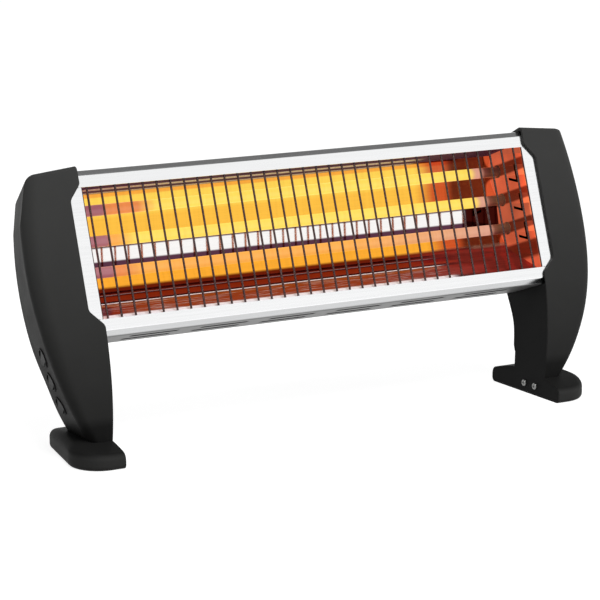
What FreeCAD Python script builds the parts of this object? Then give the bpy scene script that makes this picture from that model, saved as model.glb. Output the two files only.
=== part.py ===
"""Quartz tube heater: a leaning sheet-steel trough with three tubes, carried by two moulded side stands.

Millimetres and degrees. X runs along the heater, +Y to its back and +Z up; the origin is on the floor,
in the middle of the space that the heater takes up. The trough is set out on its leaning front plane:
x along the heater, depth back from the plane, height up the plane from the middle of the opening.
"""
import FreeCAD, Part
import math
import os

Vector = FreeCAD.Vector

# Trough
lean = 19.4                    # front plane leans back from upright
opening_width = 460.0
opening_height = 116.0
opening_centre_z = 180.4
top_rail_height = 16.5         # bright rails above and below the opening
bottom_rail_height = 15.5
rail_chamfer = 5.5             # slanting edge between each rail and the top or bottom
casing_behind_tubes = 19.0     # from the middle of the tubes to the back
casing_top_fall = 9.0          # the top falls towards the back
back_chamfer = 7.0
casing_overlap = 17.0          # length of casing that each side stand covers
casing_sheet = 1.0
bend_radius = 2.0

# Vents
vent_groups = 6
vent_group_pitch = 70.0
vent_length = 44.0
vent_width = 2.4
vent_row_pitch = 7.0
bottom_vent_depths = (19.0, 38.0)
back_vent_height = 24.0        # middle of the back rows, above the middle of the opening

# End plates
plate_sheet = 1.0
plate_bend_radius = 1.6
plate_gap = 0.3                # end plate to casing rails
slot_depth = 12.0              # front edge of each L slot, back from the front plane
slot_drop = 17.5               # corner of each L slot below its tube
slot_rise = 18.5
slot_run = 16.0
slot_upright_width = 4.2
slot_level_width = 2.7

# Tubes
tube_heights = (43.3, 15.5, -12.3)
tube_depth = 45.0
tube_radius = 5.0
tube_bore_radius = 4.0
tube_seat = 8.0                # length of tube held in each cap
coil_radius = 3.3
coil_end_gap = 38.0            # from the end of the winding to the end plate
tail_radius = 0.9
cap_hub_radius = 6.2
cap_flange_radius = 8.2
cap_flange = 2.5
cap_barrel_radius = 6.6
cap_length = 14.0
cap_end_wall = 4.0
terminal_radius = 1.5
terminal_length = 8.0
seat_clearance = 0.05

# Reflector
reflector_sheet = 0.6
reflector_front = 7.0
reflector_low_step = 1.0       # lower front edge above the lower rail
reflector_high_step = 4.0      # upper front edge behind the upper rail
reflector_lip = 8.0            # front edges turned up and down behind the rails
reflector_lip_radius = 1.2
reflector_end_gap = 0.2
reflector_bends = (            # depth behind the tubes, height and radius, upwards
    (15.0, -25.0, 30.0),       # hollow below the lower tube
    (10.0, 13.0, 3.0),
    (7.3, 20.0, 2.0),          # ridge behind the middle tube
    (21.0, 42.0, 32.0),        # hollow behind the upper tube
)
reflector_top_behind = 6.0     # back corner of the top, behind the tubes
reflector_top_fall = 0.8

# Guard
wire_count = 34
wire_margin = 5.6              # first wire from the end of the opening
wire_radius = 1.0
wire_overrun = 6.0             # length of wire hidden behind each rail
rod_inset = 3.0                # rod behind the rail, from the edge of the opening
weld_gap = 0.02

# Side stands
stand_setback = 1.0            # stand's inner face from the end of the opening
stand_inner_draft = 1.3        # degrees by which the inner face leans outwards
stand_wall = 2.7
stand_gap = 0.3                # stand to casing
stand_top_rise = 3.6           # above the casing, at the inner face
stand_top_fall = 6.0           # the top edge falls outwards
stand_top_corner = 12.0
stand_top_corner_inset = 5.0   # from the front corner of the side
stand_top_splay = 14.0         # degrees by which the side leans in at the top
stand_edge_radius = 5.0
bulge_width = 60.8             # furthest reach of the side, from the inner face
bulge_z = 170.0
bulge_lower_radius = 286.0
bulge_upper_radius = 379.0
side_draw_in_low = -0.02       # how fast the side draws in towards the back, at the floor
side_draw_in_high = 0.36       # and at side_draw_in_z
side_draw_in_z = 220.0
front_corner_radius = 12.5
back_corner_radius = 8.0
leg_corner_share = 0.6         # corners of the leg above the foot, as a share of those above
leg_front = -32.5              # foremost point of the leg, from the opening's middle
leg_upright_z = 56.0           # height at which the leg's front is upright
leg_back = 22.2
leg_flare_low_z = 34.0         # the back of the leg flares out between these heights
leg_flare_top_z = 108.0
stand_spans = 12               # sections that the stand is drawn through, less one
leg_base_z = 15.0
leg_hollow_z = 30.0
notch_width = 13.5
notch_top_margin = 11.0        # below the upper edge of the opening
notch_bottom_margin = 8.0      # above the lower edge
notch_radius = 7.0

# Feet
foot_front = -54.5
foot_back = 57.0
foot_front_width = 43.5
foot_back_width = 21.5
foot_front_corner = 28.0
foot_back_corner = 22.0
foot_end_height = 13.4
foot_crown = 22.5
foot_edge_radius = 7.0
foot_base_radius = 4.5

# Inner covers
cover_rim = 1.5
cover_sheet = 2.0
cover_gap = 0.2
cover_screw_y = (-14.5, 2.7)
cover_screw_z = 9.0

# Screws
screw_radius = 1.75
screw_length = 11.0
screw_head_radius = 3.2
screw_head = 1.8
screw_sink = 0.5               # rear heads let into the stand
screw_recess = 0.9             # width and depth of the cross in a head
rear_screw_heights = (-38.0, 38.0)
rear_screw_inset = 9.0         # outwards from the stand's inner edge

# Switches
switch_z = (92.7, 71.2, 49.0)
switch_depth = 32.0            # back from the leg's front
switch_flange_radius = 9.0
switch_flange = 1.5
switch_sink = 0.6              # flange let into the wall
switch_barrel_radius = 8.2
switch_barrel = 12.5
switch_pocket_radius = 7.2
switch_pocket = 7.4
switch_clearance = 0.1
rocker_clearance = 0.3
rocker_throw = 22.0
rocker_valley = 0.9
rocker_edge = 2.4
rocker_belly = 2.2
pivot_sink = 0.8               # pivot below the wall's surface
pivot_radius = 1.0
pivot_clearance = 0.05

# Cord inlet
inlet_z = 44.0
inlet_inset = 15.0             # outwards from the stand's inner edge
inlet_bore_radius = 3.5
inlet_neck_radius = 5.0
inlet_flange_radius = 7.5
inlet_flange = 2.0
inlet_sink = 0.5
inlet_clip = 1.2

# Derived sizes
lean_rad = math.radians(lean)
opening_half_width = opening_width / 2
opening_half_height = opening_height / 2
casing_top = opening_half_height + top_rail_height
casing_bottom = -opening_half_height - bottom_rail_height
casing_depth = tube_depth + casing_behind_tubes
casing_top_slope = casing_top_fall / casing_depth
coil_half_length = opening_half_width - coil_end_gap
wire_pitch = (opening_width - 2 * wire_margin) / (wire_count - 1)
stand_inner_x = opening_half_width + stand_setback
stand_spare = casing_overlap   # extra width that the inner face is cut from
casing_half_length = stand_inner_x + casing_overlap
bulge_reach = stand_inner_x + bulge_width
stand_top_height = casing_top + stand_top_rise
stand_front = -stand_wall - stand_gap
stand_back = casing_depth + stand_gap + stand_wall
tube_end = opening_half_width + plate_sheet + tube_seat
cap_end = opening_half_width + cap_length
far = 600.0                    # longer than the heater, for cutting right through


def flat(a, b, axis):
    """The point (a, b) on the plane that is square to the named axis."""
    if axis == "x":
        return Vector(0, a, b)
    if axis == "y":
        return Vector(a, 0, b)
    return Vector(a, b, 0)


def rounded_edges(corners, axis, closed):
    """Lines through (a, b, radius) corners, each corner rounded by a tangent arc."""
    count = len(corners)
    stops = []
    for i, (a, b, radius) in enumerate(corners):
        here = flat(a, b, axis)
        at_end = not closed and i in (0, count - 1)
        if at_end or radius == 0:
            stops.append((here, None, here))
            continue
        before = (flat(*corners[i - 1][:2], axis) - here).normalize()
        after = (flat(*corners[(i + 1) % count][:2], axis) - here).normalize()
        half = before.getAngle(after) / 2
        middle = (before + after).normalize()
        run = radius / math.tan(half)
        crown = here + middle * (radius / math.sin(half) - radius)
        stops.append((here + before * run, crown, here + after * run))
    edges = []
    for i in range(count):
        start, crown, end = stops[i]
        if crown is not None:
            edges.append(Part.Arc(start, crown, end).toShape())
        if i == count - 1 and not closed:
            break
        following = stops[(i + 1) % count][0]
        if (following - end).Length > 1e-6:
            edges.append(Part.LineSegment(end, following).toShape())
    return edges


def rounded_wire(corners, axis):
    return Part.Wire(rounded_edges(corners, axis, True))


def prism(corners, axis, start, end):
    """A closed outline drawn out along its axis, from start to end."""
    face = Part.Face(rounded_wire(corners, axis))
    along = {"x": Vector(1, 0, 0), "y": Vector(0, 1, 0), "z": Vector(0, 0, 1)}[axis]
    face.translate(along * start)
    return face.extrude(along * (end - start))


def beside(path, thickness):
    """The path moved to its left by a thickness, with its bends kept concentric."""
    moved = []
    last = len(path) - 1
    for i, (a, b, radius) in enumerate(path):
        here = Vector(a, b, 0)
        into = (here - Vector(*path[i - 1][:2], 0)).normalize() if i > 0 else None
        out = (Vector(*path[i + 1][:2], 0) - here).normalize() if i < last else None
        into = into or out
        out = out or into
        left_in = Vector(-into.y, into.x, 0)
        left_out = Vector(-out.y, out.x, 0)
        place = here + (left_in + left_out) * (thickness / (1 + left_in.dot(left_out)))
        turn = into.x * out.y - into.y * out.x
        moved.append((place.x, place.y, radius - math.copysign(thickness, turn) if radius else 0))
    return moved


def bent_sheet(path, thickness, axis, start, end):
    """Sheet metal folded along an open path, drawn out along an axis."""
    near = rounded_edges(path, axis, False)
    away = rounded_edges(beside(path, thickness)[::-1], axis, False)
    near_end = flat(*path[-1][:2], axis)
    away_corners = beside(path, thickness)
    away_end = flat(*away_corners[-1][:2], axis)
    away_start = flat(*away_corners[0][:2], axis)
    near_start = flat(*path[0][:2], axis)
    edges = near + [Part.LineSegment(near_end, away_end).toShape()]
    edges += away + [Part.LineSegment(away_start, near_start).toShape()]
    face = Part.Face(Part.Wire(edges))
    along = {"x": Vector(1, 0, 0), "y": Vector(0, 1, 0), "z": Vector(0, 0, 1)}[axis]
    face.translate(along * start)
    return face.extrude(along * (end - start))


def block(x, y, z):
    """A box between two values on each axis."""
    box = Part.makeBox(x[1] - x[0], y[1] - y[0], z[1] - z[0])
    box.translate(Vector(x[0], y[0], z[0]))
    return box


def rod(radius, start, end):
    return Part.makeCylinder(radius, (end - start).Length, start, end - start)


def lean_back(shape):
    """Take a shape from the front plane's own axes to the heater's."""
    shape.rotate(Vector(0, 0, 0), Vector(1, 0, 0), -lean)
    shape.translate(Vector(0, 0, opening_centre_z))
    return shape


def mirrored(shape):
    return shape.mirror(Vector(0, 0, 0), Vector(1, 0, 0))


def vent_slits(heights_or_depths, make_slit):
    """Groups of slits along the heater, one row for each height or depth."""
    slits = []
    for group in range(vent_groups):
        x = (group - (vent_groups - 1) / 2) * vent_group_pitch
        for row in heights_or_depths:
            slits.append(make_slit(x - vent_length / 2, x + vent_length / 2, row))
    return slits


def casing_path():
    """Outer face of the casing, from the edge of the lower rail round the back to the upper one."""
    flat_end = casing_depth - back_chamfer
    back_top = casing_top - casing_top_fall
    return [
        (0, -opening_half_height, 0),
        (0, casing_bottom + rail_chamfer, bend_radius),
        (rail_chamfer, casing_bottom, bend_radius),
        (flat_end, casing_bottom, bend_radius),
        (casing_depth, casing_bottom + back_chamfer, bend_radius),
        (casing_depth, back_top - back_chamfer, bend_radius),
        (flat_end, casing_top - casing_top_slope * flat_end, bend_radius),
        (rail_chamfer, casing_top - casing_top_slope * rail_chamfer, bend_radius),
        (0, casing_top - rail_chamfer, bend_radius),
        (0, opening_half_height, 0),
    ]


def casing_core(inset, start, end):
    """The casing's outline filled in, drawn in all round by an inset."""
    return prism(beside(casing_path(), inset)[1:-1], "x", start, end)


def make_casing():
    trough = bent_sheet(casing_path(), casing_sheet, "x", -casing_half_length, casing_half_length)
    bottom = (casing_bottom - casing_sheet, casing_bottom + 2 * casing_sheet)
    rear = (casing_depth - 2 * casing_sheet, casing_depth + casing_sheet)
    back_rows = [back_vent_height + side * vent_row_pitch for side in (-1, 0, 1)]

    def bottom_slit(x0, x1, depth):
        return block((x0, x1), (depth - vent_width / 2, depth + vent_width / 2), bottom)

    def back_slit(x0, x1, height):
        return block((x0, x1), rear, (height - vent_width / 2, height + vent_width / 2))

    cuts = vent_slits(bottom_vent_depths, bottom_slit) + vent_slits(back_rows, back_slit)
    for side in (-1, 1):
        cuts += [screw_hole(side, height) for height in rear_screw_heights]
    return lean_back(trough.cut(cuts))


def rear_screw_line(side, height):
    x = side * (stand_inner_x + rear_screw_inset)
    return Vector(x, 0, height)


def screw_hole(side, height):
    """Clearance hole through the back for a rear screw."""
    start = rear_screw_line(side, height) + Vector(0, casing_depth - screw_length, 0)
    return rod(screw_radius + seat_clearance, start, start + Vector(0, 2 * screw_length, 0))


def make_end_plate():
    """Right end plate: bright stile in front, wall with tube holes, tab behind for the rear screws."""
    half = opening_half_height - plate_gap
    wall = opening_half_width
    tip = casing_half_length - plate_gap
    inset = casing_sheet + seat_clearance
    tab = casing_depth - inset
    path = [(tip, 0, 0), (wall, 0, plate_bend_radius), (wall, tab, plate_bend_radius), (tip, tab, 0)]
    channel = bent_sheet(path, -plate_sheet, "z", casing_bottom, casing_top)
    stile = block((wall, tip), (0, 2 * inset), (-half, half))
    plate = channel.common(casing_core(inset, wall, tip).fuse(stile))
    through = (wall - plate_sheet, wall + 2 * plate_sheet)
    cuts = []
    for height in tube_heights:
        hole = Vector(through[0], tube_depth, height)
        cuts.append(rod(cap_hub_radius + seat_clearance, hole, hole + Vector(through[1] - through[0], 0, 0)))
        cuts.append(prism(slot_corners(height - slot_drop), "x", *through))
    cuts += [screw_hole(1, height) for height in rear_screw_heights]
    return lean_back(plate.cut(cuts))


def slot_corners(low):
    """L-shaped slot: one leg along the front plane, the other level when the heater stands."""
    front, back, end = slot_depth, slot_depth + slot_upright_width, slot_depth + slot_run
    slope = math.tan(lean_rad)
    level_top = low + slot_level_width
    return [
        (front, low, 0),
        (end, low + slope * slot_run, 0),
        (end, level_top + slope * slot_run, 0),
        (back, level_top + slope * slot_upright_width, 0),
        (back, low + slot_rise, 0),
        (front, low + slot_rise, 0),
    ]


def make_reflector():
    low = -opening_half_height + reflector_low_step
    high = opening_half_height + reflector_high_step
    path = [(reflector_front, low - reflector_lip, 0), (reflector_front, low, reflector_lip_radius)]
    path += [(tube_depth + behind, height, radius) for behind, height, radius in reflector_bends]
    path += [
        (tube_depth + reflector_top_behind, high - reflector_top_fall, bend_radius),
        (reflector_front, high, reflector_lip_radius),
        (reflector_front, high + reflector_lip, 0),
    ]
    half = opening_half_width - reflector_end_gap
    return lean_back(bent_sheet(path, -reflector_sheet, "x", -half, half))


def rod_depth():
    return casing_sheet + wire_radius + weld_gap


def make_guard_wires():
    depth = rod_depth() + 2 * wire_radius + weld_gap
    reach = opening_half_height + wire_overrun
    wires = []
    for i in range(wire_count):
        x = (i - (wire_count - 1) / 2) * wire_pitch
        wires.append(rod(wire_radius, Vector(x, depth, -reach), Vector(x, depth, reach)))
    return lean_back(Part.makeCompound(wires))


def make_guard_rods():
    half = opening_half_width - reflector_end_gap
    rods = []
    for side in (-1, 1):
        height = side * (opening_half_height + rod_inset)
        rods.append(rod(wire_radius, Vector(-half, rod_depth(), height), Vector(half, rod_depth(), height)))
    return lean_back(Part.makeCompound(rods))


def make_tube(height):
    ends = Vector(-tube_end, tube_depth, height), Vector(tube_end, tube_depth, height)
    return lean_back(rod(tube_radius, *ends).cut(rod(tube_bore_radius, *ends)))


def make_coil(height):
    """Heating coil with its straight tails, as the outer form of the winding."""
    def bar(radius, half):
        return rod(radius, Vector(-half, tube_depth, height), Vector(half, tube_depth, height))

    return lean_back(bar(coil_radius, coil_half_length).fuse(bar(tail_radius, cap_end - cap_end_wall)))


def make_caps():
    """Right ceramic caps: hub in the end plate's hole, flange against the plate, blind seat for the tube."""
    wall = opening_half_width
    outer = wall + plate_sheet
    caps = []
    for height in tube_heights:
        corners = [
            (wall, tube_radius + seat_clearance),
            (wall, cap_hub_radius),
            (outer, cap_hub_radius),
            (outer, cap_flange_radius),
            (outer + cap_flange, cap_flange_radius),
            (outer + cap_flange, cap_barrel_radius),
            (cap_end, cap_barrel_radius),
            (cap_end, terminal_radius + seat_clearance),
            (cap_end - cap_end_wall, terminal_radius + seat_clearance),
            (cap_end - cap_end_wall, tube_radius + seat_clearance),
        ]
        profile = Part.makePolygon([Vector(x, r, 0) for x, r in corners + corners[:1]])
        cap = Part.Face(profile).revolve(Vector(0, 0, 0), Vector(1, 0, 0), 360)
        cap.translate(Vector(0, tube_depth, height))
        caps.append(cap)
    return lean_back(Part.makeCompound(caps))


def make_terminals():
    """Right terminal pins, one in the end of each cap."""
    pins = []
    for height in tube_heights:
        start = Vector(cap_end - cap_end_wall, tube_depth, height)
        pins.append(rod(terminal_radius, start, start + Vector(cap_end_wall + terminal_length, 0, 0)))
    return lean_back(Part.makeCompound(pins))


def stand_front_y(z):
    """Front of the side stand: the leaning plane, then an arc that brings the leg upright."""
    bend = (leg_front - stand_front / math.cos(lean_rad)
            + (opening_centre_z - leg_upright_z) * math.tan(lean_rad)) / (1 / math.cos(lean_rad) - 1)
    if z > leg_upright_z + bend * math.sin(lean_rad):
        return (z - opening_centre_z) * math.tan(lean_rad) + stand_front / math.cos(lean_rad)
    return leg_front + bend - math.sqrt(bend ** 2 - (z - leg_upright_z) ** 2)


def stand_back_y(z):
    """Back of the side stand: parallel to the front plane, flaring out of an upright leg."""
    def plane(at):
        return (at - opening_centre_z) * math.tan(lean_rad) + stand_back / math.cos(lean_rad)

    rise = (z - leg_flare_low_z) / (leg_flare_top_z - leg_flare_low_z)
    rise = min(max(rise, 0), 1)
    return leg_back + (plane(z) - leg_back) * rise ** 2 * (3 - 2 * rise)


def stand_reach(z):
    radius = bulge_lower_radius if z < bulge_z else bulge_upper_radius
    return bulge_reach - radius + math.sqrt(radius ** 2 - (z - bulge_z) ** 2)


def draw_in(z):
    return side_draw_in_low + (side_draw_in_high - side_draw_in_low) * z / side_draw_in_z


def stand_side_x(z, from_front):
    """Outer side of the stand at a height and a distance back from its front."""
    return stand_reach(z) - draw_in(z) * (from_front - front_corner_radius)


def stand_section(z, inset, inner_x):
    """Level section of the side stand, drawn in all round by an inset."""
    front, back = stand_front_y(z), stand_back_y(z)
    slant = inset * math.hypot(1, draw_in(z))
    share = min(1, leg_corner_share + (1 - leg_corner_share) * (z - leg_base_z) / leg_flare_top_z)
    corners = [
        (inner_x, front + inset, 0),
        (stand_side_x(z, inset) - slant, front + inset, front_corner_radius * share - inset),
        (stand_side_x(z, back - front - inset) - slant, back - inset, back_corner_radius * share - inset),
        (inner_x, back - inset, 0),
    ]
    wire = rounded_wire(corners, "z")
    wire.translate(Vector(0, 0, z))
    return wire


def stand_heights(start):
    """Evenly spaced heights of the sections that the stand is drawn through."""
    top_z = opening_centre_z + stand_top_height * math.cos(lean_rad) + stand_edge_radius
    return [start + i * (top_z - start) / stand_spans for i in range(stand_spans + 1)]


def trim_drift(depth):
    """How far the top of the stand draws in and falls at a depth, as against its front."""
    run = depth - stand_front
    top_z = opening_centre_z + stand_top_height * math.cos(lean_rad)
    side_front = stand_side_x(top_z, 0) - stand_top_corner_inset
    back_run = stand_back - stand_front
    side_back = stand_side_x(top_z - back_run * math.sin(lean_rad), back_run / math.cos(lean_rad))
    across = (side_back - side_front) * run / back_run
    fall = stand_top_fall / bulge_width
    return Vector(across, depth, -casing_top_slope * run - fall * across)


def stand_trim(inset):
    """Block that rounds off the top of the stand, set out on the front plane."""
    inner = stand_inner_x - stand_spare
    top_z = opening_centre_z + stand_top_height * math.cos(lean_rad)
    outer = stand_side_x(top_z, 0) - stand_top_corner_inset + stand_gap - inset
    fall = stand_top_fall / bulge_width
    top = stand_top_height - inset
    corners = [
        (inner, -far, 0),
        (inner, top + fall * stand_spare, 0),
        (outer, top - fall * (outer - stand_inner_x), stand_top_corner - inset),
        (outer + far * math.tan(math.radians(stand_top_splay)), top - far, 0),
    ]
    front, back = stand_front - stand_gap + inset, stand_back + stand_gap - inset
    face = Part.Face(rounded_wire(corners, "y"))
    face.translate(trim_drift(front))
    trim = face.extrude(trim_drift(back) - trim_drift(front))
    rims = [edge for edge in trim.Edges if rounds_top(edge, inner, (front, back))]
    return lean_back(trim.makeFillet(stand_edge_radius - inset, rims))


def rounds_top(edge, inner, planes):
    """True for the front and back edges of the trim, apart from its inner and lower sides."""
    box = edge.BoundBox
    in_plane = box.YLength < 1e-6 and min(abs(box.YMin - y) for y in planes) < 1e-6
    return in_plane and box.ZMax > stand_top_height - far / 2 and box.XMax > inner + stand_spare


def stand_form(inset, start, inner_x):
    sections = [stand_section(z, inset, inner_x) for z in stand_heights(start)]
    solid, ruled, closed, degree = True, False, False, 3
    return Part.makeLoft(sections, solid, ruled, closed, degree).common(stand_trim(inset))


def foot_top(inset):
    """Crowned upper edge of the foot, seen from the side."""
    ends = foot_front + inset, foot_back - inset
    middle = (ends[0] + ends[1]) / 2
    points = [
        Vector(0, ends[0], foot_end_height - inset),
        Vector(0, middle, foot_crown - inset),
        Vector(0, ends[1], foot_end_height - inset),
    ]
    return Part.Arc(*points).toShape()


def foot_side(inset):
    """Side view of the foot as a face, drawn in all round by an inset."""
    crown = foot_top(inset)
    corners = [
        crown.Vertexes[-1].Point,
        Vector(0, foot_back - inset, inset),
        Vector(0, foot_front + inset, inset),
        crown.Vertexes[0].Point,
    ]
    lines = [Part.LineSegment(a, b).toShape() for a, b in zip(corners, corners[1:])]
    return Part.Face(Part.Wire([crown] + lines))


def make_foot():
    inner = stand_inner_x - stand_spare
    side = foot_side(0)
    side.translate(Vector(inner, 0, 0))
    plan = [
        (inner, foot_front, 0),
        (stand_inner_x + foot_front_width, foot_front, foot_front_corner),
        (stand_inner_x + foot_back_width, foot_back, foot_back_corner),
        (inner, foot_back, 0),
    ]
    foot = prism(plan, "z", 0, 2 * foot_crown).common(side.extrude(Vector(far, 0, 0)))
    crown = max(foot.Faces, key=lambda face: face.CenterOfMass.z)
    foot = foot.makeFillet(foot_edge_radius, outer_edges(crown))
    base = min(foot.Faces, key=lambda face: face.CenterOfMass.z)
    return foot.makeFillet(foot_base_radius, outer_edges(base))


def outer_edges(face):
    """Edges of a face of the foot, apart from the one on its inner side."""
    return [edge for edge in face.Edges if edge.BoundBox.XMax > stand_inner_x]


def cover_outline(inset):
    """Side view of leg and foot as a slab one cover thick, drawn in all round by an inset."""
    heights = [inset + foot_end_height / 2] + [z for z in stand_heights(leg_base_z) if z < opening_centre_z]
    front = [Vector(0, stand_front_y(z) + inset, z) for z in heights]
    back = [Vector(0, stand_back_y(z) - inset, z) for z in heights]
    edges = [
        spline(front),
        Part.LineSegment(front[-1], back[-1]).toShape(),
        spline(back[::-1]),
        Part.LineSegment(back[0], front[0]).toShape(),
    ]
    leg = Part.Face(Part.Wire(edges)).extrude(Vector(cover_sheet, 0, 0))
    return leg.fuse(foot_side(inset).extrude(Vector(cover_sheet, 0, 0))).removeSplitter()


def spline(points):
    curve = Part.BSplineCurve()
    curve.interpolate(points)
    return curve.toShape()


def casing_space():
    """Everything above the underside of the casing, with the stand's gap."""
    low = casing_bottom - stand_gap
    return lean_back(block((0, far), (-far, far), (low, far)))


def drafted(shape):
    """Tilt what sits on the stand's inner face to the lean of that face."""
    hinge_z = opening_centre_z - opening_half_height * math.cos(lean_rad)
    shape.rotate(Vector(stand_inner_x, 0, hinge_z), Vector(0, 1, 0), stand_inner_draft)
    return shape


def make_cover():
    """Right inner cover, let into the rim of the stand and held by two screws at the foot."""
    cover = cover_outline(cover_rim + cover_gap)
    cover.translate(Vector(stand_inner_x + cover_gap, 0, 0))
    holes = [cover_screw_hole(y) for y in cover_screw_y]
    return drafted(cover).cut(holes + [casing_space()])


def cover_screw_hole(y):
    start = Vector(stand_inner_x - cover_sheet, y, cover_screw_z)
    end = start + Vector(2 * cover_sheet + screw_length, 0, 0)
    return drafted(rod(screw_radius + seat_clearance, start, end))


def make_screw(head_seat, direction):
    """Pan-head screw with a cross recess: its head seats on a face, its shank runs along a direction."""
    shank = rod(screw_radius, Vector(0, 0, 0), Vector(screw_length, 0, 0))
    head = rod(screw_head_radius, Vector(-screw_head, 0, 0), Vector(0, 0, 0))
    rim = [edge for edge in head.Edges if edge.BoundBox.XMax < -screw_head / 2]
    head = head.makeFillet(screw_head / 2, rim)
    deep = (-2 * screw_head, screw_recess - screw_head)
    arm, narrow = (-screw_radius, screw_radius), (-screw_recess / 2, screw_recess / 2)
    cross = [block(deep, arm, narrow), block(deep, narrow, arm)]
    screw = head.fuse(shank).removeSplitter().cut(cross)
    screw.Placement = FreeCAD.Placement(head_seat, FreeCAD.Rotation(Vector(1, 0, 0), direction))
    return screw


def rear_screw_seat(height):
    return rear_screw_line(1, height) + Vector(0, stand_back - screw_sink, 0)


def rear_screw_recess(height):
    """Flat round recess in the stand's back for a screw head."""
    seat = rear_screw_seat(height)
    return lean_back(rod(screw_head_radius + stand_gap, seat, seat + Vector(0, screw_length, 0)))


def make_cover_screws():
    """Right pair of cover screws."""
    seat_x = stand_inner_x + cover_gap
    return [drafted(make_screw(Vector(seat_x, y, cover_screw_z), Vector(1, 0, 0))) for y in cover_screw_y]


def make_rear_screws():
    """Right pair of rear screws, through stand and casing into the end plate's tab."""
    screws = []
    for height in rear_screw_heights:
        screws.append(lean_back(make_screw(rear_screw_seat(height), Vector(0, -1, 0))))
    return screws


def make_notch():
    """Notch in the stand's front wall that shows the end plate's stile, its corners rounded."""
    def inner_face(height):
        lean_out = math.tan(math.radians(stand_inner_draft)) * math.cos(lean_rad)
        return stand_inner_x + lean_out * (height + opening_half_height) - seat_clearance

    edge = stand_inner_x + notch_width
    top, bottom = opening_half_height - notch_top_margin, notch_bottom_margin - opening_half_height
    high, low = top + notch_width, bottom - notch_width
    highest, lowest = high + notch_width, low - notch_width
    corners = [
        (inner_face(lowest), lowest, 0),
        (inner_face(low), low, notch_radius),
        (edge, bottom, notch_radius),
        (edge, top, notch_radius),
        (inner_face(high), high, notch_radius),
        (inner_face(highest), highest, 0),
        (stand_inner_x - stand_spare, highest, 0),
        (stand_inner_x - stand_spare, lowest, 0),
    ]
    return lean_back(prism(corners, "y", 2 * stand_front, 0))


def make_stand():
    """Right side stand: one moulding of side, leg and foot, open towards the trough."""
    inner = stand_inner_x - stand_spare
    body = stand_form(0, leg_base_z, inner).fuse(make_foot())
    body = body.cut(drafted(block((0, stand_inner_x), (-far, far), (-far, far))))
    hollow = stand_form(stand_wall, leg_hollow_z, inner)
    rebate = cover_outline(cover_rim)
    rebate.translate(Vector(stand_inner_x + cover_gap, 0, 0))
    mouth = rebate.copy()
    mouth.translate(Vector(-cover_sheet, 0, 0))
    trough = casing_core(-stand_gap, 0, casing_half_length + stand_gap)
    cuts = [hollow, drafted(rebate), drafted(mouth), make_notch(), lean_back(trough)]
    cuts += [cover_screw_hole(y) for y in cover_screw_y]
    cuts += [lean_back(screw_hole(1, height)) for height in rear_screw_heights]
    cuts += [rear_screw_recess(height) for height in rear_screw_heights]
    return body.cut(cuts).removeSplitter()


def switch_place(z):
    """Place of a switch on the right side: x down the wall, y along the pivot, z out of the wall."""
    step = 0.5
    y = stand_front_y(z) + switch_depth

    def wall_point(at_y, at_z):
        return Vector(stand_side_x(at_z, at_y - stand_front_y(at_z)), at_y, at_z)

    centre = wall_point(y, z)
    back = wall_point(y + step, z) - wall_point(y - step, z)
    up = wall_point(y, z + step) - wall_point(y, z - step)
    out = back.cross(up).normalize()
    pivot = back.normalize()
    down = pivot.cross(out).normalize()
    matrix = FreeCAD.Matrix(
        down.x, pivot.x, out.x, centre.x,
        down.y, pivot.y, out.y, centre.y,
        down.z, pivot.z, out.z, centre.z,
        0, 0, 0, 1,
    )
    return FreeCAD.Placement(matrix)


def upright_cylinder(radius, low, high):
    return rod(radius, Vector(0, 0, low), Vector(0, 0, high))


def pivot_bar(radius, half):
    return rod(radius, Vector(0, -half, -pivot_sink), Vector(0, half, -pivot_sink))


def make_switch_cut():
    """Hole and flat seat for one switch."""
    hole = upright_cylinder(switch_barrel_radius + switch_clearance, -2 * switch_barrel, switch_barrel)
    seat = upright_cylinder(switch_flange_radius + switch_clearance, -switch_sink, switch_barrel)
    return hole.fuse(seat)


def make_switch_housing():
    flange = upright_cylinder(switch_flange_radius, -switch_sink, switch_flange - switch_sink)
    top = max(flange.Faces, key=lambda face: face.CenterOfMass.z)
    flange = flange.makeFillet(switch_flange / 2, top.Edges)
    barrel = upright_cylinder(switch_barrel_radius, -switch_sink - switch_barrel, 0)
    mouth = switch_flange - switch_sink
    pocket = upright_cylinder(switch_pocket_radius, mouth - switch_pocket, switch_flange)
    bearing = pivot_bar(pivot_radius + pivot_clearance, switch_flange_radius + switch_flange)
    return flange.fuse(barrel).cut([pocket, bearing]).removeSplitter()


def make_rocker():
    """Round rocker with a shallow valley, tipped so that its lower half stands out."""
    ball = switch_pocket_radius - rocker_clearance
    width = 2 * switch_pocket_radius
    corners = [
        (-width, rocker_edge + rocker_valley, 0),
        (0, rocker_valley, 4 * switch_pocket_radius),
        (width, rocker_edge + rocker_valley, 0),
        (width, -rocker_belly, 0),
        (-width, -rocker_belly, 0),
    ]
    paddle = prism(corners, "y", -width, width).common(Part.makeSphere(ball))
    paddle.rotate(Vector(0, 0, 0), Vector(0, 1, 0), -rocker_throw / 2)
    paddle.translate(Vector(0, 0, -pivot_sink))
    pins = pivot_bar(pivot_radius, switch_barrel_radius - rocker_clearance)
    return paddle.fuse(pins).removeSplitter()


def placed(shape, place):
    shape.Placement = place
    return shape


def inlet_point():
    """Middle of the cord inlet on the back of the right leg, let in to its seat."""
    return Vector(stand_inner_x + inlet_inset, stand_back_y(inlet_z) - inlet_sink, inlet_z)


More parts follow.
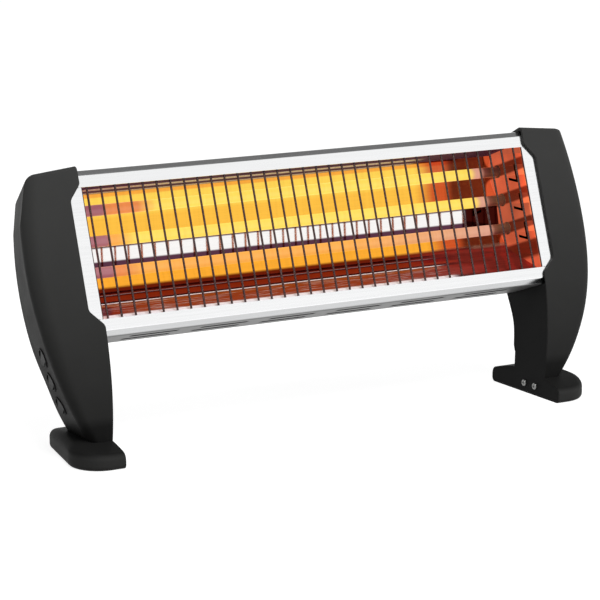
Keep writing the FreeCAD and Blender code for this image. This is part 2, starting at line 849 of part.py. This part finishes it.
def make_inlet_cut():
    """Hole for the grommet's neck, with flat seats for its flange and its clip."""
    seat = inlet_point()
    back = Vector(0, 2 * stand_wall, 0)
    inside = seat - Vector(0, stand_wall - inlet_sink, 0)
    hole = rod(inlet_neck_radius + seat_clearance, inside, seat + back)
    flange_seat = rod(inlet_flange_radius + seat_clearance, seat, seat + back)
    clip_seat = rod(inlet_neck_radius + inlet_clip, inside - back, inside)
    return hole.fuse([flange_seat, clip_seat])


def make_inlet():
    """Cord grommet: flange on the outside, neck through the wall, clip inside."""
    clip_start = -(stand_wall - inlet_sink) - seat_clearance
    corners = [
        (inlet_bore_radius, clip_start - inlet_clip),
        (inlet_neck_radius, clip_start - inlet_clip),
        (inlet_neck_radius + inlet_clip / 2, clip_start - inlet_clip / 2),
        (inlet_neck_radius, clip_start),
        (inlet_neck_radius, 0),
        (inlet_flange_radius, 0),
        (inlet_flange_radius, inlet_flange / 2),
        (inlet_neck_radius, inlet_flange),
        (inlet_bore_radius, inlet_flange),
    ]
    profile = Part.makePolygon([Vector(r, y, 0) for r, y in corners + corners[:1]])
    grommet = Part.Face(profile).revolve(Vector(0, 0, 0), Vector(0, 1, 0), 360)
    grommet.translate(inlet_point())
    return grommet


def make_parts():
    """Every sub-part by name, with left-hand ones mirrored from the right."""
    plate, caps, terminals = make_end_plate(), make_caps(), make_terminals()
    stand, cover = make_stand(), make_cover()
    places = [switch_place(z) for z in switch_z]
    switch_cuts = [placed(make_switch_cut(), place) for place in places]
    left_stand = stand.cut(switch_cuts + [make_inlet_cut()])
    cover_screws, rear_screws = make_cover_screws(), make_rear_screws()
    parts = {
        "casing": make_casing(),
        "reflector": make_reflector(),
        "guard_wires": make_guard_wires(),
        "guard_rods": make_guard_rods(),
        "left_end_plate": mirrored(plate),
        "right_end_plate": plate,
        "left_tube_caps": mirrored(caps),
        "right_tube_caps": caps,
        "left_terminals": mirrored(terminals),
        "right_terminals": terminals,
        "left_side_stand": mirrored(left_stand),
        "right_side_stand": stand,
        "left_inner_cover": mirrored(cover),
        "right_inner_cover": cover,
        "cover_screws": Part.makeCompound(cover_screws + [mirrored(screw) for screw in cover_screws]),
        "rear_screws": Part.makeCompound(rear_screws + [mirrored(screw) for screw in rear_screws]),
        "cord_grommet": mirrored(make_inlet()),
    }
    for name, height in zip(("upper", "middle", "lower"), tube_heights):
        parts[name + "_quartz_tube"] = make_tube(height)
        parts[name + "_heating_coil"] = make_coil(height)
    for name, place in zip(("upper", "middle", "lower"), places):
        parts[name + "_switch_housing"] = mirrored(placed(make_switch_housing(), place))
        parts[name + "_rocker"] = mirrored(placed(make_rocker(), place))
    return parts


def main():
    parts = make_parts()
    box = parts["right_side_stand"].optimalBoundingBox(False, False)
    centre = Vector(0, -box.Center.y, 0)
    os.makedirs("parts", exist_ok=True)
    for name, shape in parts.items():
        shape.translate(centre)
        shape.exportStep("parts/" + name + ".step")
    print("moved back by", round(centre.y, 4))
    for name, z in zip(("upper", "middle", "lower"), switch_z):
        place = switch_place(z)
        pivot = place.multVec(Vector(0, 0, -pivot_sink)) + centre
        axis = place.Rotation.multVec(Vector(0, 1, 0))
        print(name, "rocker pivot", [-pivot.x, pivot.y, pivot.z], "axis", [-axis.x, axis.y, axis.z])
    inlet = inlet_point() + centre
    print("cord inlet", [-inlet.x, inlet.y, inlet.z])


main()
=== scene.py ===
import bpy
import math
from mathutils import Matrix, Vector

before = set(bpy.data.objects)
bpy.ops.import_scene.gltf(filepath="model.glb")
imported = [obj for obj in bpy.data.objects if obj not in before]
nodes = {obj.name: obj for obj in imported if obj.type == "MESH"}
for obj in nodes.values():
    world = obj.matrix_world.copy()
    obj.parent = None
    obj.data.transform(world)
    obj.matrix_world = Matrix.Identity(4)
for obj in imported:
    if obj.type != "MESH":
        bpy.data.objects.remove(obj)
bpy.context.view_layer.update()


def centre(name):
    """Middle of a node's box."""
    node = nodes[name]
    corners = [node.matrix_world @ Vector(corner) for corner in node.bound_box]
    return sum(corners, Vector()) / len(corners)


# Places in metres. The trough leans back, and its own axes lean with it:
# x along it, y back from the tubes, z up from the middle tube.
trough_middle = centre("middle_quartz_tube")
trough_up = centre("upper_quartz_tube") - centre("lower_quartz_tube")
lean = math.atan2(trough_up.y, trough_up.z)
underside = -0.089                # z of the casing's bottom
rail_back = -0.030                # y behind which the casing is zinc
reflector_z = (-0.075, 0.045)     # from the reflector's foot to its top bend
wire_y = -0.041                   # middle of the guard wires
wall_x = 0.230                    # inner walls of the end plates
tube_x = 0.250                    # half the length that the tubes' colours are spread over
vent_pitch = 0.070                # x from one group of vent slits to the next
vent_y = -0.0165                  # between the two rows of vent slits
vent_row = 0.0095                 # from there to each row
stand_top = 0.250                 # height that the stands' painted shade is spread over
heater_middle = (0, 0, 0.15)

bright_metal = (0.94, 0.945, 0.95)


# Node helpers

def new_material(name, **values):
    """A material whose principled shader has the given socket values."""
    material = bpy.data.materials.new(name)
    material.use_nodes = True
    shader = material.node_tree.nodes["Principled BSDF"]
    for socket, value in values.items():
        shader.inputs[socket.replace("_", " ")].default_value = value
    return material


def add(owner, kind, **settings):
    node = owner.node_tree.nodes.new(kind)
    for name, value in settings.items():
        setattr(node, name, value)
    return node


def link(owner, value, target):
    """Gives a socket a number, or the output of another node."""
    if isinstance(value, float):
        target.default_value = value
    else:
        owner.node_tree.links.new(value, target)


def feed(material, **outputs):
    """Links outputs to the principled shader's sockets."""
    shader = material.node_tree.nodes["Principled BSDF"]
    for socket, output in outputs.items():
        link(material, output, shader.inputs[socket.replace("_", " ")])


def place(material, **mapped):
    """The place on the object in metres, after a mapping."""
    coordinates = add(material, "ShaderNodeTexCoord")
    mapping = add(material, "ShaderNodeMapping")
    for socket, value in mapped.items():
        mapping.inputs[socket].default_value = value
    link(material, coordinates.outputs["Object"], mapping.inputs["Vector"])
    return mapping.outputs["Vector"]


def along_axis(owner, vector, axis):
    parts = add(owner, "ShaderNodeSeparateXYZ")
    link(owner, vector, parts.inputs["Vector"])
    return parts.outputs[axis]


def heater_place(material, axis):
    """The place along one of the heater's axes."""
    return along_axis(material, place(material), axis)


def trough_place(material, axis):
    """The place along one of the leaning trough's axes."""
    upright = Matrix.Rotation(lean, 3, "X")
    leaning = place(material, Rotation=(lean, 0, 0), Location=-(upright @ trough_middle))
    return along_axis(material, leaning, axis)


def noise(material, scale, detail=2.0, stretch=(1, 1, 1)):
    texture = add(material, "ShaderNodeTexNoise")
    texture.inputs["Scale"].default_value = scale
    texture.inputs["Detail"].default_value = detail
    link(material, place(material, Scale=stretch), texture.inputs["Vector"])
    return texture.outputs["Fac"]


def spread(owner, value, low, high, start=0.3, end=0.7):
    """A value between start and end, turned into one between low and high."""
    ramp = add(owner, "ShaderNodeMapRange")
    settings = {"Value": value, "From Min": start, "From Max": end, "To Min": low, "To Max": high}
    for socket, setting in settings.items():
        link(owner, setting, ramp.inputs[socket])
    return ramp.outputs["Result"]


def rising(material, value, start, end):
    """0 up to start and 1 from end on."""
    return spread(material, value, 0.0, 1.0, start, end)


def falling(material, value, start, end):
    """1 up to start and 0 from end on."""
    return spread(material, value, 1.0, 0.0, start, end)


def colours(material, value, stops):
    """A colour ramp over a value from 0 to 1."""
    ramp = add(material, "ShaderNodeValToRGB")
    elements = ramp.color_ramp.elements
    while len(elements) < len(stops):
        elements.new(0.5)
    for element, (position, colour) in zip(elements, stops):
        element.position = position
        element.color = (*colour, 1)
    link(material, value, ramp.inputs["Fac"])
    return ramp.outputs["Color"]


def two_tone(material, texture, dark, light):
    """Two colours that follow a texture."""
    return colours(material, texture, [(0.3, dark), (0.7, light)])


def grey(level):
    return (level, level, level)


def maths(owner, operation, first, second=0.0):
    node = add(owner, "ShaderNodeMath", operation=operation)
    for socket, value in zip(node.inputs, (first, second)):
        link(owner, value, socket)
    return node.outputs["Value"]


def product(owner, first, *others):
    for other in others:
        first = maths(owner, "MULTIPLY", first, other)
    return first


def blend(material, share, first, second, kind="MIX"):
    """A mix of two colours by a share."""
    node = add(material, "ShaderNodeMix", data_type="RGBA", blend_type=kind)
    for socket, value in zip(("Factor", "A", "B"), (share, first, second)):
        link(material, value, node.inputs[socket])
    return node.outputs["Result"]


def bump(material, height, distance):
    node = add(material, "ShaderNodeBump")
    node.inputs["Distance"].default_value = distance
    node.inputs["Strength"].default_value = 1.0
    link(material, height, node.inputs["Height"])
    feed(material, Normal=node.outputs["Normal"])


# Materials

def grained(material, colour, texture):
    """The colour with a faint grain in it."""
    grain = two_tone(material, texture, grey(0.95), grey(1.0))
    return blend(material, 1.0, colour, grain, "MULTIPLY")


def plastic_surface(material, cloud, roughness):
    """Satin gloss that varies a little, over a fine moulded grain."""
    feed(material, Roughness=spread(material, cloud, roughness - 0.04, roughness + 0.05))
    bump(material, noise(material, 2600.0, 1.0), 0.00004)


def moulded_plastic(name, dark, light, roughness, specular):
    """Plastic of one grey."""
    material = new_material(name, Specular_IOR_Level=specular)
    cloud = noise(material, 38.0, 3.0)
    feed(material, Base_Color=two_tone(material, cloud, grey(dark), grey(light)))
    plastic_surface(material, cloud, roughness)
    return material


def stand_plastic():
    """Charcoal plastic with painted light and shade by height: darkest where the leg runs into the foot,
    lighter on the foot's rim and towards the top.
    """
    material = new_material("charcoal_plastic", Specular_IOR_Level=0.03)
    height = rising(material, heater_place(material, "Z"), 0.0, stand_top)
    # Painted light and shade: a lighter band on the foot's rim, the foot's top and the leg's base darkest,
    # lighter up to the top.
    painted_levels = [
        (0.044, 0.034), (0.058, 0.013), (0.135, 0.012), (0.170, 0.026),
        (0.300, 0.030), (0.560, 0.036), (0.900, 0.046),
    ]
    painted_shade = colours(material, height, [(at, (level, level, level * 0.98)) for at, level in painted_levels])
    cloud = noise(material, 38.0, 3.0)
    feed(material, Base_Color=grained(material, painted_shade, cloud))
    plastic_surface(material, cloud, 0.52)
    return material


def rolled_sheet(name, **values):
    """Bright sheet with a faint rolling grain along the heater; colour and gloss are left to the caller."""
    material = new_material(name, Metallic=1.0, Specular_IOR_Level=0.0, **values)
    streaks = noise(material, 700.0, 2.0, (0.02, 1, 1))
    bump(material, streaks, 0.000001)
    return material, streaks


def painted_vent_shadow(material):
    """1 on the painted shadow around the vent slits in the underside: two rows in six groups."""
    def off(value, middle):
        return maths(material, "ABSOLUTE", maths(material, "SUBTRACT", value, middle))

    along = heater_place(material, "X")
    turn = maths(material, "FRACT", maths(material, "DIVIDE", along, vent_pitch))
    in_group = falling(material, off(turn, 0.5), 0.330, 0.345)
    off_row = off(off(trough_place(material, "Y"), vent_y), vent_row)
    in_row = falling(material, off_row, 0.0036, 0.0042)
    between_ends = falling(material, off(along, 0.0), 0.205, 0.208)
    below = falling(material, trough_place(material, "Z"), underside + 0.0004, underside + 0.0008)
    return product(material, in_group, in_row, between_ends, below)


def bright_casing():
    """Bright rails, a zinc back and a rougher underside, with painted shade: a lower bend less bright than
    the rails, a grey underside and painted shadow around the vent slits.
    """
    material, streaks = rolled_sheet("bright_casing")
    height = rising(material, trough_place(material, "Z"), underside, underside + 0.010)
    # Painted shade: a grey underside and a lower bend less bright than the rails.
    shaded_underside, shaded_bend = grey(0.18), (0.56, 0.565, 0.57)
    front = colours(material, height, [(0.04, shaded_underside), (0.14, shaded_bend), (0.50, shaded_bend), (0.58, bright_metal)])
    spangle = noise(material, 160.0, 3.0)
    zinc = colours(material, spangle, [(0.35, (0.40, 0.41, 0.42)), (0.65, (0.54, 0.55, 0.56))])
    behind = rising(material, trough_place(material, "Y"), rail_back - 0.006, rail_back)
    zinc_share = product(material, behind, rising(material, height, 0.10, 0.14))
    sheet = grained(material, blend(material, zinc_share, front, zinc), streaks)
    # Painted shadow around the vent slits: dark and not metallic.
    vent_shadow = painted_vent_shadow(material)
    dark = two_tone(material, streaks, grey(0.010), grey(0.02))
    dull = spread(material, height, 0.34, 0.0, 0.04, 0.14)
    roughness = maths(material, "ADD", spread(material, streaks, 0.14, 0.18), dull)
    feed(
        material,
        Base_Color=blend(material, vent_shadow, sheet, dark),
        Metallic=maths(material, "SUBTRACT", 1.0, vent_shadow),
        Roughness=maths(material, "ADD", roughness, product(material, zinc_share, 0.20)),
    )
    return material


def striped(plain, stripe, stripes):
    """Ramp stops for stripes, each given by where it starts, is full, is full to and ends."""
    stops = []
    for start, full, full_to, end in stripes:
        stops += [(start, plain), (full, stripe), (full_to, stripe), (end, plain)]
    return stops


def plate_painted_glow():
    """Bright stile with a painted shadow line at its edge, and an inner wall tinted orange with a painted
    glow of the tubes' light, between dark bands of painted shade.
    """
    material, streaks = rolled_sheet("plate_painted_glow")
    across = maths(material, "ABSOLUTE", heater_place(material, "X"))
    beyond_wall = rising(material, across, wall_x, wall_x + 0.004)
    # Painted shadow line along the bend from the wall to the stile.
    shadow_line = (0.05, 0.015, 0.018)
    stile = colours(material, beyond_wall, [(0.30, shadow_line), (0.38, bright_metal)])
    height = rising(material, trough_place(material, "Z"), *reflector_z)
    shaded_bands = [
        (0.10, 0.13, 0.24, 0.26), (0.345, 0.36, 0.43, 0.445),
        (0.575, 0.59, 0.665, 0.68), (0.805, 0.82, 0.90, 0.915),
    ]
    # Painted reflection and painted glow of the tubes: the wall is tinted and glows orange, between dark
    # bands of painted shade.
    wall = colours(material, height, striped((0.92, 0.30, 0.13), (0.30, 0.07, 0.04), shaded_bands))
    glow = colours(material, height, striped((0.95, 0.19, 0.085), (0.20, 0.03, 0.012), shaded_bands))
    inside = falling(material, beyond_wall, 0.04, 0.10)
    cloud = noise(material, 34.0)
    feed(
        material,
        Base_Color=blend(
            material, inside, grained(material, stile, streaks), grained(material, wall, cloud)),
        Emission_Color=glow,
        Emission_Strength=product(material, inside, spread(material, cloud, 0.40, 0.62)),
        Roughness=spread(material, inside, 0.14, 0.05, 0.0, 1.0),
    )
    return material


def painted_reflection_lines(material, height, at_top):
    """1 on the white lines of painted reflection along the lower wing and the top, with white streaks on the
    wing's front.
    """
    def lines(value, steps):
        return colours(material, value, [(at, grey(share)) for at, share in steps])

    wing = lines(height, [
        (0.042, 1), (0.047, 0), (0.139, 0), (0.143, 1), (0.149, 1), (0.153, 0), (0.216, 0), (0.219, 0.6),
        (0.222, 0.6), (0.225, 0), (0.9895, 0), (0.9905, 0.9), (0.997, 0.9), (0.998, 0),
    ])
    white_streaks = spread(material, noise(material, 800.0, 2.0, (0.05, 1, 1)), 0.0, 0.55, 0.50, 0.62)
    front = falling(material, height, 0.128, 0.138)
    depth = rising(material, trough_place(material, "Y"), -0.040, 0.020)
    top = lines(depth, [(0.54, 0), (0.56, 0.9), (0.68, 0.9), (0.70, 0)])
    low = maths(material, "MAXIMUM", wing, product(material, white_streaks, front))
    share = maths(material, "MAXIMUM", low, product(material, top, at_top))
    return product(material, share, falling(material, heater_place(material, "X"), 0.135, 0.150))


def heat_tint_and_painted_reflection(material, height, along):
    """Bands up the reflector, partly heat tint and partly painted reflection, with painted black shade at
    its right end.
    """
    brown_red, dark_red, purple = (0.22, 0.09, 0.08), (0.13, 0.018, 0.035), (0.10, 0.035, 0.06)
    orange, gold, pale = (0.92, 0.56, 0.45), (0.94, 0.72, 0.50), (0.97, 0.90, 0.75)
    clear, black = (0.97, 0.95, 0.93), (0.03, 0.010, 0.014)
    # Partly heat tint and partly painted reflection of the tubes and rods, band by band.
    bands = colours(material, height, [
        (0.0, brown_red), (0.130, brown_red), (0.160, dark_red), (0.275, dark_red), (0.295, gold), (0.437, gold),
        (0.445, purple), (0.480, purple), (0.490, clear), (0.580, clear), (0.588, purple), (0.610, purple),
        (0.625, gold), (0.800, gold), (0.840, pale), (0.960, pale), (0.968, orange), (0.988, orange),
        (0.990, dark_red),
    ])
    # Painted shade at the right end: black over the middle of the reflector.
    painted_end_shade = colours(material, height, [(0.40, gold), (0.44, black), (0.62, black), (0.66, gold)])
    return blend(material, rising(material, along, 0.189, 0.193), bands, painted_end_shade)


def polished_reflector():
    """Mirror sheet with heat tint and painted reflection in bands, oxide at the end of its lower wing, a top
    bend in painted shade and white lines of painted reflection.
    """
    material, streaks = rolled_sheet("polished_reflector", Specular_Tint=(1.0, 0.60, 0.66, 1))
    height = rising(material, trough_place(material, "Z"), *reflector_z)
    along = heater_place(material, "X")
    at_top = rising(material, height, 0.9985, 0.9995)
    reflection_lines = painted_reflection_lines(material, height, at_top)
    dull_share = maths(material, "MAXIMUM", reflection_lines, at_top)
    # Matte painted colours: painted shade on the top bend, white painted reflection on the lines.
    shaded_top = two_tone(material, streaks, (0.12, 0.07, 0.14), (0.17, 0.10, 0.20))
    white = two_tone(material, streaks, (0.82, 0.76, 0.80), (0.92, 0.88, 0.92))
    dull = blend(material, reflection_lines, shaded_top, white)
    oxide_share = product(
        material, rising(material, along, 0.10, 0.17), falling(material, height, 0.26, 0.30))
    oxide = two_tone(material, streaks, (0.22, 0.025, 0.018), (0.32, 0.045, 0.032))
    tinted = grained(material, heat_tint_and_painted_reflection(material, height, along), streaks)
    metal = blend(material, oxide_share, tinted, oxide)
    matte = maths(material, "MAXIMUM", dull_share, product(material, oxide_share, 0.6))
    feed(
        material,
        Base_Color=blend(material, dull_share, metal, dull),
        Metallic=maths(material, "SUBTRACT", 1.0, matte),
        Roughness=spread(material, streaks, 0.03, 0.07),
    )
    return material


def lit_quartz(name, hot, hot_behind, warm, hot_from, hot_to):
    """Milky quartz lit by the coil. Its front is hot from one place along it to another, warm to the left of
    that and cold at the ends, and its back is hot over a shorter stretch."""
    material = new_material(name, Roughness=0.30, IOR=1.46)
    along = rising(material, heater_place(material, "X"), -tube_x, tube_x)
    hot_start, hot_end = (0.5 + x / (2 * tube_x) for x in (hot_from, hot_to))
    # The front's mauve at the left end and pink to dark red at the right end lie beyond the coil: painted
    # glow.
    mauve, pink = (0.30, 0.09, 0.115), (0.68, 0.33, 0.24)
    cold, end = (0.14, 0.032, 0.026), (0.05, 0.012, 0.01)
    front = colours(material, along, [
        (0.112, mauve), (0.118, warm), (hot_start - 0.04, warm), (hot_start, hot), (hot_end, hot),
        (0.905, pink), (0.913, pink), (0.925, cold), (0.936, end),
    ])
    red, ember = (0.62, 0.11, 0.035), (0.10, 0.014, 0.008)
    back = colours(material, along, [
        (0.05, warm), (0.10, hot_behind), (0.80, hot_behind), (0.84, red), (0.865, red), (0.885, ember),
    ])
    behind = rising(material, trough_place(material, "Y"), -0.001, 0.001)
    turns = noise(material, 420.0, 1.0, (1, 0.05, 0.05))
    feed(
        material,
        Base_Color=colours(material, along, [(0.11, (0.16, 0.10, 0.10)), (0.12, (0.08, 0.05, 0.02))]),
        Emission_Color=blend(material, behind, front, back),
        Emission_Strength=spread(material, turns, 0.96, 1.04),
    )
    return material


def glowing_coil():
    """Red-hot wire with cold ends."""
    material = new_material("glowing_coil", Metallic=1.0, Roughness=0.45)
    glow = two_tone(material, noise(material, 500.0, 1.0), (1.0, 0.30, 0.05), (1.0, 0.50, 0.10))
    across = maths(material, "ABSOLUTE", heater_place(material, "X"))
    strength = spread(material, across, 1.5, 0.0, 0.190, 0.200)
    feed(material, Base_Color=glow, Emission_Color=glow, Emission_Strength=strength)
    return material


def fired_ceramic():
    """Rough ceramic that the heat has browned."""
    material = new_material("fired_ceramic", Roughness=0.6)
    grain = noise(material, 400.0, 4.0)
    feed(material, Base_Color=two_tone(material, grain, (0.30, 0.15, 0.09), (0.42, 0.24, 0.15)))
    bump(material, grain, 0.00005)
    return material


def plain_metal(name, dark, light, roughness):
    """Metal with fine clouds in its colour and gloss."""
    material = new_material(name, Metallic=1.0)
    cloud = noise(material, 700.0, 3.0)
    feed(
        material,
        Base_Color=two_tone(material, cloud, dark, light),
        Roughness=spread(material, cloud, roughness - 0.05, roughness + 0.05),
    )
    return material


def guard_wire():
    """Dark wire, painted lighter and coppery on the side towards the tubes as painted light from them."""
    material = new_material("guard_wire", Metallic=1.0)
    cloud = noise(material, 700.0, 3.0)
    outside = two_tone(material, cloud, (0.055, 0.032, 0.032), (0.12, 0.085, 0.085))
    # Painted light: the side towards the tubes is lighter and coppery.
    inside = two_tone(material, cloud, (0.48, 0.22, 0.16), (0.62, 0.32, 0.24))
    behind = rising(material, trough_place(material, "Y"), wire_y, wire_y + 0.0004)
    feed(
        material,
        Base_Color=blend(material, behind, outside, inside),
        Roughness=spread(material, cloud, 0.21, 0.31),
    )
    return material


# Pieces

def dress(material, *names):
    for name in names:
        slots = nodes[name].data.materials
        slots.clear()
        slots.append(material)


def dress_stands():
    black = moulded_plastic("black_plastic", 0.011, 0.014, 0.50, 0.03)
    gloss = moulded_plastic("switch_gloss", 0.014, 0.019, 0.34, 0.05)
    dress(stand_plastic(), "left_side_stand", "right_side_stand")
    dress(black, "left_inner_cover", "right_inner_cover")
    for level in ("upper", "middle", "lower"):
        dress(black, level + "_switch_housing")
        dress(gloss, level + "_rocker")
    dress(moulded_plastic("black_rubber", 0.010, 0.014, 0.62, 0.20), "cord_grommet")
    dress(plain_metal("screw_steel", grey(0.13), (0.30, 0.30, 0.29), 0.30), "cover_screws", "rear_screws")


def dress_trough():
    rod = plain_metal("bright_rod", (0.50, 0.44, 0.43), (0.66, 0.60, 0.58), 0.25)
    brass = plain_metal("brass", (0.55, 0.38, 0.15), (0.72, 0.52, 0.22), 0.35)
    dress(bright_casing(), "casing")
    dress(plate_painted_glow(), "left_end_plate", "right_end_plate")
    dress(polished_reflector(), "reflector")
    dress(guard_wire(), "guard_wires")
    dress(rod, "guard_rods")
    dress(fired_ceramic(), "left_tube_caps", "right_tube_caps")
    dress(brass, "left_terminals", "right_terminals")


def dress_tubes():
    yellow, amber = (1.0, 0.71, 0.11), (1.0, 0.56, 0.06)
    orange, red = (0.93, 0.40, 0.07), (0.79, 0.24, 0.07)
    dress(lit_quartz("upper_lit_quartz", yellow, yellow, red, -0.140, 0.196), "upper_quartz_tube")
    dress(lit_quartz("middle_lit_quartz", yellow, yellow, orange, -0.165, 0.196), "middle_quartz_tube")
    dress(lit_quartz("lower_lit_quartz", orange, amber, red, -0.165, 0.050), "lower_quartz_tube")
    dress(glowing_coil(), "upper_heating_coil", "middle_heating_coil", "lower_heating_coil")


# Stage

def seen_by(owner):
    """1 for rays that look at a surface straight, in a mirror or through glass, and 0 for light."""
    path = add(owner, "ShaderNodeLightPath")
    seen = path.outputs["Is Camera Ray"]
    for ray in ("Is Glossy Ray", "Is Transmission Ray"):
        seen = maths(owner, "MAXIMUM", seen, path.outputs[ray])
    return seen


def make_floor():
    """Pale floor that looks white and keeps the heater's shadow."""
    bpy.ops.mesh.primitive_plane_add(size=30, location=(0, 0, 0))
    floor = bpy.context.object
    floor.name = "floor"
    material = new_material(
        "floor_white", Base_Color=(0.4, 0.4, 0.4, 1), Emission_Color=(1, 1, 1, 1),
        Roughness=0.9, Specular_IOR_Level=0.0)
    feed(material, Emission_Strength=product(material, seen_by(material), 0.85))
    floor.data.materials.append(material)


def make_world():
    """White studio, softer as light than to the eye, and grey overhead in mirrors."""
    world = bpy.data.worlds.new("studio")
    bpy.context.scene.world = world
    world.use_nodes = True
    background = world.node_tree.nodes["Background"]
    background.inputs["Color"].default_value = (1, 1, 1, 1)
    direction = add(world, "ShaderNodeTexCoord").outputs["Generated"]
    to_the_eye = spread(world, along_axis(world, direction, "Z"), 1.0, 0.16, 0.44, 0.60)
    level = spread(world, seen_by(world), 0.38, to_the_eye, 0.0, 1.0)
    link(world, level, background.inputs["Strength"])


def make_lamp(name, location, size, power, mirrored):
    """Soft lamp that points at the heater, and that metal mirrors or doesn't."""
    data = bpy.data.lights.new(name, "AREA")
    data.shape = "RECTANGLE"
    data.size, data.size_y = size
    data.energy = power
    lamp = bpy.data.objects.new(name, data)
    lamp.visible_glossy = mirrored
    lamp.location = location
    ahead = Vector(heater_middle) - Vector(location)
    lamp.rotation_euler = ahead.to_track_quat("-Z", "Y").to_euler()
    bpy.context.collection.objects.link(lamp)


def make_camera():
    """Camera at the photograph's viewing angle."""
    data = bpy.data.cameras.new("camera")
    data.sensor_width = 36.0
    data.lens = 161.5
    camera = bpy.data.objects.new("camera", data)
    azimuth, elevation = math.radians(30.43), math.radians(11.81)
    ahead = Vector((
        math.sin(azimuth) * math.cos(elevation),
        math.cos(azimuth) * math.cos(elevation),
        -math.sin(elevation),
    ))
    camera.location = (-1.2312, -2.0715, 0.6158)
    camera.rotation_euler = ahead.to_track_quat("-Z", "Y").to_euler()
    bpy.context.collection.objects.link(camera)
    bpy.context.scene.camera = camera


dress_stands()
dress_trough()
dress_tubes()
make_floor()
make_world()
make_lamp("key", (-0.2, -1.7, 2.8), (1.8, 1.8), 70, mirrored=True)
make_lamp("fill", (2.3, -1.5, 0.3), (0.8, 0.6), 18, mirrored=False)
make_camera()
bpy.context.scene.view_settings.view_transform = "Standard"
